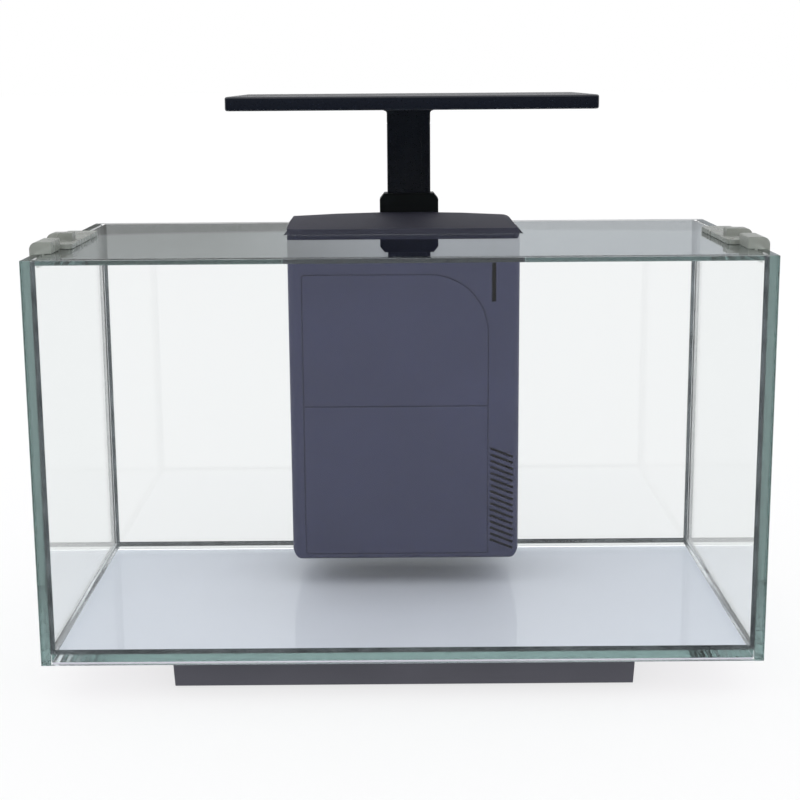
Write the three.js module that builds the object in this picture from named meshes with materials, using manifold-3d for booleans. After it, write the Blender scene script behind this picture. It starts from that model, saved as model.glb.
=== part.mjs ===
// A small glass aquarium on a low plinth: five glued panes, a lift-off glass lid hung on two clips,
// an inside filter box hooked over the back pane, and a flat lamp on a stem above it.
// Millimetres. +X is to the right, +Y to the back, +Z up, and z = 0 is the table under the feet.

import * as THREE from "three";
import { mergeVertices } from "three/addons/utils/BufferGeometryUtils.js";
import Module from "manifold-3d";

const wasm = await Module();
wasm.setup();

// ---------------------------------------------------------------- driving dimensions

const TANK_WIDTH = 500;
const TANK_DEPTH = 273;
const TANK_HEIGHT = 281;
const GLASS = 6;
const JOINT = 0.5;               // glue line between panes
const FILM = 0.8;                // white film under the floor pane
const SEAL = 3.5;                // leg of the silicone beads
const SEAL_OVERRUN = 0.2;        // flat left along the floor bead's upper edge
const SEAL_HOLLOW = 0.45;        // how far in the bead's hollow curve bends, as a share of its leg

const PLINTH_HEIGHT = 28;        // table to the panes' lower edges
const PLINTH_WIDTH = 329;
const PLINTH_X = 1;              // plinth's middle, right of the tank's
const PLINTH_SETBACK = 27;       // front and back, from the glass to the plinth
const PLINTH_CORNER = 3;
const PLINTH_RIB = 2;
const PLINTH_WALL = 3;
const PLINTH_DRAFT = 1.5;        // how far each side leans in towards the table
const PLINTH_TOP = 3;
const PLINTH_FLOOR = 2.5;
const MAT = 2;                   // foam mat between plinth and glass
const MAT_PROUD = 0.5;
const MAT_MARGIN = 6;
const FOOT_RADIUS = 9;
const FOOT_PROUD = 1.5;
const FOOT_INSET = 22;           // foot centre from the plinth's side
const FOOT_CHAMFER = 1;

const LID_GLASS = 4;
const LID_SIDE_GAP = 2.5;        // lid edge to side pane
const LID_FRONT_GAP = 1.5;
const LID_BACK_GAP = 2;
const LID_FILTER_GAP = 1.5;
const LID_ARRIS = 0.4;

const CLIP_FROM_FRONT = 39.5;    // front pane's face to the clip's front end
const CLIP_BLOCK = 30;           // length of the block at the front end
const CLIP_BLOCK_REACH = 14.8;   // block's inner end from the clip's outer face
const CLIP_BLOCK_HEIGHT = 8.2;
const CLIP_LENGTH = 133;
const CLIP_WALL = 1.8;
const CLIP_LEG = 9;              // how far the outer leg reaches down the pane
const CLIP_WING = 12;            // how far wing and shelf reach in over the lid
const CLIP_WING_CORNER = 5;
const CLIP_PLATE = 3.2;          // thickness of wing and web
const CLIP_SHELF = 2.4;
const CLIP_TAB_FROM = 55;        // thumb tab behind the clip's front end
const CLIP_TAB = 12;
const CLIP_TAB_REACH = 18.5;
const CLIP_TAB_HEIGHT = 9;
const CLIP_SHOULDER = 5;         // outer upper round of block and tab
const CLIP_PLAY = 0.3;

const FILTER_WIDTH = 177.5;
const FILTER_DEPTH = 103.2;
const FILTER_X = 3;
const FILTER_GLASS_GAP = 0.3;    // filter back to the back pane
const FILTER_CLEARANCE = 18.5;   // filter floor above the floor pane
const FILTER_WALL = 2.4;
const FILTER_CORNER = 8;         // upright front edges
const FILTER_BACK_CORNER = 3;
const FILTER_FOOT_CORNER = 10;   // lower edges, seen from the front
const FILTER_SILL = 4;           // lower edges, front and back
const FILTER_RIM_DROP = 3.5;     // filter rim below the tank rim

const PANEL_THICK = 1.2;
const PANEL_GROOVE = 0.6;
const PANEL_LEFT = 11;           // from the filter's left side
const PANEL_RIGHT = 24.5;        // from the filter's right side
const PANEL_TOP_DROP = 31;       // below the tank rim
const PANEL_SPLIT_DROP = 133;    // split line below the tank rim
const PANEL_CORNER = 45;
const PANEL_SMALL_CORNER = 2;

const VENT_COUNT = 16;
const VENT_PITCH = 4.9;
const VENT_HEIGHT = 2;
const VENT_WIDTH = 19;
const VENT_TILT = 22;            // degrees, down towards the right
const VENT_FROM_FLOOR = 12;      // lowest slot above the filter's underside
const VENT_FROM_SIDE = 4;
const SKIM_WIDTH = 3.3;
const SKIM_FROM_SIDE = 20;
const SKIM_HEIGHT = 46;
const SKIM_DROP = 6;             // slot top below the tank rim

const CAP_WALL = 2.2;
const CAP_FRONT_RISE = 4;        // cap front above the tank rim
const CAP_BACK_RISE = 9;
const CAP_CROWN = 2.5;
const CAP_END_RADIUS = 9;        // right-hand upper corner
const CAP_LIP = 2;               // locating rib inside the filter box
const CAP_BACK_GAP = 0.6;        // cap to hanger

const HANGER_INSET = 4;          // hanger's ends inside the filter's sides
const HANGER_PLATE = 4;
const HANGER_WALL = 3;
const HANGER_DROP = 30;          // outer leg below the tank rim
const HANGER_FLANGE = 24;        // inner flange inside the filter box
const HANGER_FRONT = 18;         // plate in front of the tank's back face
const PAD_THICK = 1;

const SOCKET_WIDTH = 47.5;
const SOCKET_DEPTH = 20;
const SOCKET_HEIGHT = 20;
const SOCKET_CHAMFER = 4.7;
const SOCKET_FLOOR = 4;
const STEM_X = 8;
const STEM_WIDTH = 35;
const STEM_DEPTH = 13;
const STEM_CORNER = 2.5;
const STEM_PLAY = 0.3;
const SOCKET_BACK = 1;           // socket's back face inside the hanger's
const STEM_BORE_WIDTH = 18;
const STEM_BORE_DEPTH = 6;
const STEM_LINE = 0.8;           // width and depth of the two lines down its front
const STEM_LINE_X = 10;

const LAMP_X = 9.5;
const LAMP_WIDTH = 266;
const LAMP_DEPTH = 174;
const LAMP_THICK = 10;
const LAMP_EDGE = 1.5;
const LAMP_CORNER = 5;
const LAMP_OVERHANG = 11;        // lamp back edge behind the hinge axis
const LAMP_HEIGHT = 374.5;       // lamp underside above the panes' lower edges
const LAMP_TOP_WALL = 2;
const DIFFUSER_THICK = 2;
const DIFFUSER_MARGIN = 14;
const LAMP_SILL = 9;             // from the bracket to the diffuser
const BOARD_THICK = 1.6;
const BOARD_MARGIN = 20;

const HINGE_DROP = 8.5;          // hinge axis below the lamp's underside
const EAR_WIDTH = 7.2;
const EAR_RADIUS = 5;
const APRON = 1.2;               // skin at the stem's front that covers the hinge
const APRON_FLARE = 2.5;         // how far the apron widens at its top
const WASHER = 0.8;
const WASHER_RADIUS = 4.5;
const WASHER_PLAY = 0.1;
const PIN_RADIUS = 2;
const PIN_PLAY = 0.1;
const BRACKET_WIDTH = 42.5;
const BRACKET_DEPTH = 18;
const BRACKET_PLATE = 2;

const PARTITION = 2;
const PARTITION_PLAY = 0.4;
const INTAKE_WIDTH = 41;         // intake chamber, inside the right wall
const PUMP_WIDTH = 46;           // pump chamber, inside the left wall
const PARTITION_DROP = 30;       // partition top below the tank rim
const UNDERFLOW = 20;            // gap under the pump partition
const BASKET_WALL = 1.6;
const BASKET_HEIGHT = 150;
const BASKET_PLAY = 1.5;
const BASKET_SLOTS = 7;
const BASKET_SILL = 8;           // solid floor in front of and behind the slots
const MEDIA_HEIGHT = 70;
const SPONGE_HEIGHT = 45;
const FLOSS_HEIGHT = 15;
const MEDIA_PLAY = 0.5;

const PUMP_BODY = 38;            // width and height of the pump
const PUMP_LENGTH = 40;
const PUMP_FROM_BACK = 14;
const PUMP_COVER = 10;
const CHAMBER_RADIUS = 15;
const ROTOR_RADIUS = 8;
const ROTOR_LENGTH = 26;
const VANE_RADIUS = 12.5;
const VANE_LENGTH = 8;
const VANE_COUNT = 6;
const SHAFT_RADIUS = 1.5;
const RUN_PLAY = 0.6;
const SHAFT_PLAY = 0.1;
const SUCTION_HEIGHT = 5;
const SUCTION_RADIUS = 5;
const SUCTION_INSET = 10;
const SPOUT_RADIUS = 6.5;
const SPOUT_BORE = 4;
const SPOUT_HEIGHT = 12;
const SPOUT_FROM_FRONT = 7;
const PIPE_WALL = 1.5;
const NOZZLE_DROP = 24;          // return nozzle's axis below the tank rim
const NOZZLE_BEND = 4;           // bend radius past the nozzle's own
const NOZZLE_SLEEVE = 10;        // how far the nozzle slips over the pipe
const GLAND_RADIUS = 4.2;
const GLAND_COLLAR = 0.7;
const GLAND_HOLE = 2.2;
const GLAND_X = -45;

const SCREW_RADIUS = 1.5;
const SCREW_HEAD = 3.2;
const SCREW_HEAD_THICK = 2;
const SCREW_SPREAD = 50;
const SCREW_PLAY = 0.2;
const GAP = 0.3;                 // between a cut piece and its neighbour

// ---------------------------------------------------------------- places worked out from them

const front = -TANK_DEPTH / 2;
const back = TANK_DEPTH / 2;
const rim = PLINTH_HEIGHT + TANK_HEIGHT;
const innerX = TANK_WIDTH / 2 - GLASS;
const innerFront = front + GLASS;
const innerBack = back - GLASS;
const floorTop = PLINTH_HEIGHT + FILM + GLASS;

const filterLeft = FILTER_X - FILTER_WIDTH / 2;
const filterRight = FILTER_X + FILTER_WIDTH / 2;
const filterBack = innerBack - FILTER_GLASS_GAP;
const filterFront = filterBack - FILTER_DEPTH;
const filterBottom = floorTop + FILTER_CLEARANCE;
const filterRim = rim - FILTER_RIM_DROP;
const filterFloor = filterBottom + FILTER_WALL;

const hangerBack = back + PAD_THICK + HANGER_WALL;
const hangerFront = back - HANGER_FRONT;
const hangerTop = rim + HANGER_PLATE;
const flangeBack = filterBack - FILTER_WALL - GAP;
const capBack = hangerFront - CAP_BACK_GAP;

const stemY = hangerBack - SOCKET_BACK - SOCKET_DEPTH / 2;
const stemFoot = hangerTop + SOCKET_FLOOR;
const lampBottom = PLINTH_HEIGHT + LAMP_HEIGHT;
const hingeZ = lampBottom - HINGE_DROP;
const tongueWidth = STEM_WIDTH - 2 * (EAR_WIDTH + WASHER + 2 * WASHER_PLAY);

// ---------------------------------------------------------------- shapes

// Each solid made by a cut or a join is kept beside its geometry, so that it can be cut again.
const solids = new WeakMap();

function solidOf(geometry) {
  if (solids.has(geometry)) return solids.get(geometry);
  const bare = geometry.clone();
  bare.deleteAttribute("normal");
  bare.deleteAttribute("uv");
  const merged = mergeVertices(bare, 1e-4);
  return new wasm.Manifold(new wasm.Mesh({
    numProp: 3,
    vertProperties: merged.attributes.position.array,
    triVerts: new Uint32Array(merged.index.array),
  }));
}

function geometryOf(solid) {
  const mesh = solid.getMesh();
  const geometry = new THREE.BufferGeometry();
  geometry.setAttribute("position", new THREE.BufferAttribute(mesh.vertProperties, 3));
  geometry.setIndex(new THREE.BufferAttribute(mesh.triVerts, 1));
  geometry.computeVertexNormals();
  solids.set(geometry, solid);
  return geometry;
}

function cut(base, ...tools) {
  return geometryOf(tools.reduce((left, tool) => left.subtract(solidOf(tool)), solidOf(base)));
}

function join(first, ...others) {
  return geometryOf(others.reduce((sum, other) => sum.add(solidOf(other)), solidOf(first)));
}

function common(first, ...others) {
  return geometryOf(others.reduce((left, other) => left.intersect(solidOf(other)), solidOf(first)));
}

// A block between two corners.
function block(x0, x1, y0, y1, z0, z1) {
  return new THREE.BoxGeometry(x1 - x0, y1 - y0, z1 - z0)
    .translate((x0 + x1) / 2, (y0 + y1) / 2, (z0 + z1) / 2);
}

// A rectangle with its own radius at each corner: lower left, lower right, upper right, upper left.
function roundedRect(u0, u1, v0, v1, [ll, lr, ur, ul]) {
  const shape = new THREE.Shape();
  shape.moveTo(u0 + ll, v0);
  shape.lineTo(u1 - lr, v0);
  if (lr) shape.absarc(u1 - lr, v0 + lr, lr, -Math.PI / 2, 0);
  shape.lineTo(u1, v1 - ur);
  if (ur) shape.absarc(u1 - ur, v1 - ur, ur, 0, Math.PI / 2);
  shape.lineTo(u0 + ul, v1);
  if (ul) shape.absarc(u0 + ul, v1 - ul, ul, Math.PI / 2, Math.PI);
  shape.lineTo(u0, v0 + ll);
  if (ll) shape.absarc(u0 + ll, v0 + ll, ll, Math.PI, 1.5 * Math.PI);
  return shape;
}

function outline(points) {
  return new THREE.Shape(points.map(([u, v]) => new THREE.Vector2(u, v)));
}

// A prism of a shape in X-Y, X-Z or Y-Z, run along the third axis.
function prism(shape, along, from, to, options = {}) {
  const { bevel = 0, segments = 5, rounds = 1 } = options;
  const geometry = new THREE.ExtrudeGeometry(shape, {
    depth: to - from - 2 * bevel,
    bevelEnabled: bevel > 0,
    bevelThickness: bevel,
    bevelSize: bevel,
    bevelOffset: -bevel,
    bevelSegments: rounds,
    curveSegments: segments,
  });
  if (along === "z") return geometry.translate(0, 0, from + bevel);
  if (along === "y") return geometry.rotateX(Math.PI / 2).translate(0, to - bevel, 0);
  const toYZ = new THREE.Matrix4().makeBasis(
    new THREE.Vector3(0, 1, 0),
    new THREE.Vector3(0, 0, 1),
    new THREE.Vector3(1, 0, 0),
  );
  return geometry.applyMatrix4(toYZ).translate(from + bevel, 0, 0);
}

// A solid of revolution about +Z from [radius, height] pairs that start and end on the axis
// or close on themselves.
function turned(pairs, segments = 24) {
  return new THREE.LatheGeometry(pairs.map(([r, z]) => new THREE.Vector2(r, z)), segments)
    .rotateX(Math.PI / 2);
}

function rod(radius, length, segments = 24) {
  return turned([[0, 0], [radius, 0], [radius, length], [0, length]], segments);
}

function tube(inner, outer, length, segments = 24) {
  return turned([[inner, 0], [outer, 0], [outer, length], [inner, length], [inner, 0]], segments);
}

// ---------------------------------------------------------------- finishes

function finish(color, roughness, metalness = 0, opacity = 1) {
  const transparent = opacity < 1;
  return new THREE.MeshStandardMaterial({ color, roughness, metalness, opacity, transparent });
}

const clearGlass = finish(0xdfeeea, 0.05, 0, 0.3);
const silicone = finish(0xe4e9ea, 0.35, 0, 0.6);
const whiteFilm = finish(0xe9ebf0, 0.6);
const plinthPlastic = finish(0x4c4e5a, 0.55);
const foam = finish(0x26272a, 0.95);
const rubber = finish(0x1b1b1d, 0.85);
const clipPlastic = finish(0x8e938c, 0.35, 0, 0.8);
const filterPlastic = finish(0x484a5e, 0.5);
const capPlastic = finish(0x575563, 0.4);
const innerPlastic = finish(0x2c2d33, 0.5);
const lampPlastic = finish(0x12151b, 0.3);
const socketPlastic = finish(0x0c0d10, 0.45);
const diffuserPlastic = finish(0xe8ecef, 0.4, 0, 0.8);
const boardLacquer = finish(0xf2f3f0, 0.5);
const steel = finish(0xb4b6b8, 0.3, 1);
const ceramic = finish(0xeae6dc, 0.7);
const sponge = finish(0x1f2226, 0.98);
const floss = finish(0xeef0f0, 0.98);
const ferrite = finish(0x33302f, 0.5);

// ---------------------------------------------------------------- the assembly

const root = new THREE.Group();
const aquarium = new THREE.Group();
// Centres the whole object front to back, hanger and clips included.
aquarium.position.y = (back - hangerBack) / 2;
root.add(aquarium);

function add(name, geometry, material, [x, y, z] = [0, 0, 0]) {
  const mesh = new THREE.Mesh(geometry, material);
  mesh.name = name;
  mesh.position.set(x, y, z);
  aquarium.add(mesh);
  return mesh;
}

// Five panes: the side panes stand between the front and back ones, and the floor lies inside all four.
function tankGlass() {
  const middle = PLINTH_HEIGHT + TANK_HEIGHT / 2;
  const wide = new THREE.BoxGeometry(TANK_WIDTH, GLASS, TANK_HEIGHT);
  const between = TANK_DEPTH - 2 * (GLASS + JOINT);
  const side = new THREE.BoxGeometry(GLASS, between, TANK_HEIGHT);
  const floor = new THREE.BoxGeometry(2 * (innerX - JOINT), between, GLASS);
  const film = new THREE.BoxGeometry(2 * (innerX - JOINT), between, FILM);
  add("front_glass", wide, clearGlass, [0, front + GLASS / 2, middle]);
  add("back_glass", wide, clearGlass, [0, back - GLASS / 2, middle]);
  add("left_glass", side, clearGlass, [-innerX - GLASS / 2, 0, middle]);
  add("right_glass", side, clearGlass, [innerX + GLASS / 2, 0, middle]);
  add("bottom_glass", floor, clearGlass, [0, 0, floorTop - GLASS / 2]);
  add("floor_film", film, whiteFilm, [0, 0, PLINTH_HEIGHT + FILM / 2]);
}

// Silicone beads: one up each inner corner, and one round the floor.
function tankSeals() {
  const hollow = SEAL * SEAL_HOLLOW;
  const bead = new THREE.Shape();
  bead.moveTo(0, 0);
  bead.lineTo(SEAL, 0);
  bead.quadraticCurveTo(hollow, hollow, 0, SEAL);
  const height = rim - SEAL - floorTop - 1;
  const corner = prism(bead, "z", 0, height, { segments: 4 });
  const corners = [
    ["corner_seal_front_left", -innerX, innerFront, 0],
    ["corner_seal_front_right", innerX, innerFront, 1],
    ["corner_seal_back_right", innerX, innerBack, 2],
    ["corner_seal_back_left", -innerX, innerBack, 3],
  ];
  for (const [name, x, y, quarter] of corners) {
    const seal = add(name, corner, silicone, [x, y, floorTop + SEAL]);
    seal.rotation.z = quarter * Math.PI / 2;
  }
  const ring = block(-innerX, innerX, innerFront, innerBack, floorTop, floorTop + SEAL);
  const slope = Math.SQRT2 * (innerX - SEAL);
  const spread = Math.SQRT2 * innerX;
  const opening = new THREE.CylinderGeometry(spread, slope, SEAL, 4, 1)
    .rotateY(Math.PI / 4)
    .rotateX(Math.PI / 2)
    .scale(1 - SEAL_OVERRUN / innerX, (innerBack - SEAL_OVERRUN) / innerX, 1)
    .translate(0, 0, floorTop + SEAL / 2);
  add("floor_seal", cut(ring, opening), silicone);
}

// The plinth is a moulded tray, upside down, closed below by a floor plate and carrying a foam mat.
function plinth() {
  const halfX = PLINTH_WIDTH / 2;
  const halfY = TANK_DEPTH / 2 - PLINTH_SETBACK;
  const lower = FOOT_PROUD;
  const upper = PLINTH_HEIGHT - MAT_PROUD;
  const inX = halfX - PLINTH_WALL - PLINTH_DRAFT;
  const inY = halfY - PLINTH_WALL - PLINTH_DRAFT;
  const sideOn = outline([
    [-halfX + PLINTH_DRAFT, lower],
    [halfX - PLINTH_DRAFT, lower],
    [halfX, upper],
    [-halfX, upper],
  ]);
  const endOn = outline([
    [-halfY + PLINTH_DRAFT, lower],
    [halfY - PLINTH_DRAFT, lower],
    [halfY, upper],
    [-halfY, upper],
  ]);
  const plan = roundedRect(-halfX, halfX, -halfY, halfY, Array(4).fill(PLINTH_CORNER));
  const solid = common(
    prism(sideOn, "y", -halfY, halfY),
    prism(endOn, "x", -halfX, halfX),
    prism(plan, "z", 0, PLINTH_HEIGHT, { segments: 3 }),
  );
  const matX = halfX - MAT_MARGIN;
  const matY = halfY - MAT_MARGIN;
  const recess = MAT - MAT_PROUD;
  const shell = cut(
    solid,
    block(-inX, inX, -inY, inY, lower - 1, upper - recess - PLINTH_TOP),
    block(-matX, matX, -matY, matY, upper - recess, upper + 1),
  );
  const ribs = [-1, 0, 1].map((side) => {
    const x = side * inX / 2;
    const y = inY + 1;
    const z = lower + PLINTH_FLOOR + GAP;
    return block(x - PLINTH_RIB / 2, x + PLINTH_RIB / 2, -y, y, z, upper - recess - PLINTH_TOP + 1);
  });
  const middle = [PLINTH_X, 0, 0];
  add("plinth_shell", join(shell, ...ribs), plinthPlastic, middle);
  add(
    "plinth_floor_plate",
    block(-inX + GAP, inX - GAP, -inY + GAP, inY - GAP, lower, lower + PLINTH_FLOOR),
    plinthPlastic,
    middle,
  );
  add(
    "cushion_mat",
    block(-matX, matX, -matY, matY, upper - recess, PLINTH_HEIGHT),
    foam,
    middle,
  );
  const foot = turned([
    [0, 0],
    [FOOT_RADIUS - FOOT_CHAMFER, 0],
    [FOOT_RADIUS, FOOT_CHAMFER],
    [FOOT_RADIUS, FOOT_PROUD],
    [0, FOOT_PROUD],
  ]);
  for (const [side, sx] of [["left", -1], ["right", 1]]) {
    for (const [end, sy] of [["front", -1], ["back", 1]]) {
      const x = PLINTH_X + sx * (halfX - FOOT_INSET);
      const y = sy * (halfY - FOOT_INSET);
      add(`foot_${end}_${side}`, foot, rubber, [x, y, 0]);
    }
  }
}

// The lid lies inside the rim on its clips' shelves, with a bay cut out for the filter.
function lid() {
  const x = innerX - LID_SIDE_GAP;
  const y0 = innerFront + LID_FRONT_GAP;
  const y1 = innerBack - LID_BACK_GAP;
  const notchY = filterFront - LID_FILTER_GAP;
  const notchLeft = filterLeft - LID_FILTER_GAP;
  const notchRight = filterRight + LID_FILTER_GAP;
  const shape = outline([
    [-x, y0],
    [x, y0],
    [x, y1],
    [notchRight, y1],
    [notchRight, notchY],
    [notchLeft, notchY],
    [notchLeft, y1],
    [-x, y1],
  ]);
  add("lid_glass", prism(shape, "z", rim - LID_GLASS, rim, { bevel: LID_ARRIS }), clearGlass);
}

// A clip straddles the side pane's rim. Its shelf and wing hold the lid's edge between them,
// and the block and the thumb tab stand up from its web.
function lidClip(name, side) {
  const outer = TANK_WIDTH / 2 + CLIP_PLAY;
  const inner = innerX - CLIP_PLAY;
  const tip = innerX - LID_SIDE_GAP - CLIP_WING;
  const face = outer + CLIP_WALL;
  const y0 = front + CLIP_FROM_FRONT;
  const y1 = y0 + CLIP_LENGTH;
  const blockEnd = y0 + CLIP_BLOCK;
  const tabFront = y0 + CLIP_TAB_FROM;
  const lidBottom = rim - LID_GLASS;
  const over = rim + GAP;
  const web = over + CLIP_PLATE;
  const across = (u0, u1) => [side * u0, side * u1].sort((a, b) => a - b);
  const wall = (u0, u1, z0, z1) => block(...across(u0, u1), y0, y1, z0, z1);
  const plate = (ya, z0, z1) => {
    const r = CLIP_WING_CORNER;
    const radii = side < 0 ? [0, r, r, 0] : [r, 0, 0, r];
    return prism(roundedRect(...across(tip, inner - CLIP_WALL / 2), ya, y1, radii), "z", z0, z1, {
      segments: 4,
    });
  };
  const grip = (reach, height, ya, yb) => {
    const radii = side < 0 ? [0, 0, 1, CLIP_SHOULDER] : [0, 0, CLIP_SHOULDER, 1];
    return prism(roundedRect(...across(face - reach, face), over, rim + height, radii), "y", ya, yb);
  };
  add(name, join(
    wall(inner - CLIP_WALL, face, rim, web),
    wall(outer, face, rim - CLIP_LEG, over),
    wall(inner - CLIP_WALL, inner, lidBottom - CLIP_SHELF, over),
    plate(y0, lidBottom - CLIP_SHELF, lidBottom),
    plate(blockEnd - 1, over, web),
    grip(CLIP_BLOCK_REACH, CLIP_BLOCK_HEIGHT, y0, blockEnd),
    grip(CLIP_TAB_REACH, CLIP_TAB_HEIGHT, tabFront, tabFront + CLIP_TAB),
  ), clipPlastic);
}

// The filter box's outer form, or the same form drawn in by a wall, open or closed at the top.
function filterForm(inset, top) {
  const x0 = filterLeft + inset;
  const x1 = filterRight - inset;
  const y0 = filterFront + inset;
  const y1 = filterBack - inset;
  const z0 = filterBottom + inset;
  const foot = FILTER_FOOT_CORNER - inset;
  const edge = FILTER_CORNER - inset;
  const rear = FILTER_BACK_CORNER - inset;
  const sill = inset ? 0 : FILTER_SILL;
  const plan = roundedRect(x0, x1, y0, y1, [edge, edge, rear, rear]);
  return common(
    prism(plan, "z", z0, top),
    prism(roundedRect(x0, x1, z0, top, [foot, foot, 0, 0]), "y", y0, y1),
    prism(roundedRect(y0, y1, z0, top, [sill, sill, 0, 0]), "x", x0, x1, { segments: 3 }),
  );
}

// The two front panels share one outline, split across, with the large radius at the upper right.
function panelShape(grow, z0, z1) {
  const x0 = filterLeft + PANEL_LEFT - grow;
  const x1 = filterRight - PANEL_RIGHT + grow;
  const upper = z1 > rim - PANEL_SPLIT_DROP + PANEL_CORNER;
  const r = PANEL_SMALL_CORNER;
  return roundedRect(x0, x1, z0 - grow, z1 + grow, [r, r, upper ? PANEL_CORNER : r, r]);
}

function filterBox() {
  const split = rim - PANEL_SPLIT_DROP;
  const panelTop = rim - PANEL_TOP_DROP;
  const panelFoot = filterBottom + FILTER_FOOT_CORNER / 2;
  const panelBack = filterFront + PANEL_THICK;
  const through = filterFront + FILTER_CORNER;
  const slot = new THREE.BoxGeometry(VENT_WIDTH, 2 * FILTER_CORNER, VENT_HEIGHT)
    .rotateY(THREE.MathUtils.degToRad(VENT_TILT));
  const vents = Array.from({ length: VENT_COUNT }, (_, i) => slot.clone().translate(
    filterRight - VENT_FROM_SIDE - VENT_WIDTH / 2,
    filterFront,
    filterBottom + VENT_FROM_FLOOR + i * VENT_PITCH,
  ));
  const skimX = filterRight - SKIM_FROM_SIDE;
  const skimTop = rim - SKIM_DROP;
  const skim = block(
    skimX - SKIM_WIDTH / 2, skimX + SKIM_WIDTH / 2,
    filterFront - 1, through,
    skimTop - SKIM_HEIGHT, skimTop,
  );
  const shell = cut(
    filterForm(0, filterRim),
    filterForm(FILTER_WALL, filterRim + 1),
    prism(panelShape(PANEL_GROOVE, panelFoot, panelTop), "y", filterFront - 1, panelBack, { segments: 10 }),
    skim,
    nozzleHole(),
    ...hangerScrews().map(([x, z]) => screwHole(x, z)),
    ...vents,
  );
  add("filter_box", shell, filterPlastic);
  const upper = panelShape(0, split + PANEL_GROOVE / 2, panelTop);
  const lower = panelShape(0, panelFoot, split - PANEL_GROOVE / 2);
  const place = [filterFront, panelBack, { segments: 10 }];
  add("front_panel_upper", prism(upper, "y", ...place), filterPlastic);
  add("front_panel_lower", prism(lower, "y", ...place), filterPlastic);
}

// The cap's form: crowned across, rising to the back, with a large radius at its right-hand end.
function capForm(inset, drop, bottom) {
  const x0 = filterLeft + inset;
  const x1 = filterRight - inset;
  const y0 = filterFront + inset;
  const y1 = capBack - inset;
  const top = rim + CAP_BACK_RISE - drop;
  const low = top - CAP_CROWN;
  const end = CAP_END_RADIUS - inset / 2;
  const edge = FILTER_CORNER - inset;
  const crown = new THREE.Shape();
  crown.moveTo(x0, bottom);
  crown.lineTo(x1, bottom);
  crown.lineTo(x1, low - end);
  crown.quadraticCurveTo(x1, low, x1 - end, low + 0.2);
  crown.quadraticCurveTo((x0 + x1) / 2, 2 * top - low, x0, low);
  const slope = outline([
    [y0, bottom],
    [y1, bottom],
    [y1, top + 0.1],
    [y0, rim + CAP_FRONT_RISE - drop],
  ]);
  return common(
    prism(roundedRect(x0, x1, y0, y1, [edge, edge, 1, 1]), "z", bottom, top + 1),
    prism(crown, "y", y0, y1, { segments: 10 }),
    prism(slope, "x", x0, x1),
  );
}

function filterCap() {
  const lipOut = FILTER_WALL + GAP;
  const lipIn = lipOut + 1.6;
  const shell = cut(capForm(0, 0, filterRim), capForm(CAP_WALL, CAP_WALL, filterRim - 1));
  const lipForm = cut(
    capForm(lipOut, CAP_WALL / 2, filterRim - CAP_LIP),
    capForm(lipIn, -1, filterRim - CAP_LIP - 1),
  );
  add("filter_cap", join(shell, lipForm), capPlastic);
}

function hangerScrews() {
  return [-1, 1].map((side) => [FILTER_X + side * SCREW_SPREAD, rim - HANGER_FLANGE / 2]);
}

function screwHole(x, z) {
  return new THREE.CylinderGeometry(SCREW_RADIUS + SCREW_PLAY, SCREW_RADIUS + SCREW_PLAY, 20, 16)
    .translate(x, flangeBack, z);
}

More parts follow.
